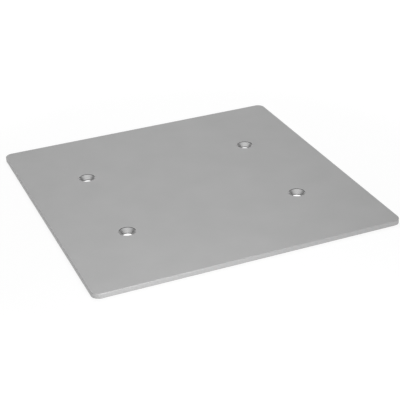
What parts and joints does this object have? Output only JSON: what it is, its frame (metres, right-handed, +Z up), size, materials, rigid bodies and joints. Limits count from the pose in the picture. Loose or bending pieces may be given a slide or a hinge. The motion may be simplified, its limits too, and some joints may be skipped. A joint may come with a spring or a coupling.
{
  "type": "truss base plate",
  "caption": "Flat square metal plate with rounded corners and countersunk screw holes, the foot that an upright truss is screwed to.",
  "frame": {"origin": "middle of the underside, at the centre of the hole pattern", "axes": "+Z up, out of the countersunk face; +X along the longer spacing of the holes; the underside is z = 0"},
  "size_m": [0.6, 0.6, 0.01],
  "materials": {
    "plate": "matt mill finish, machined screw seats"
  },
  "bodies": {
    "root": {"base_plate": "plate"}
  },
  "joints": []
}
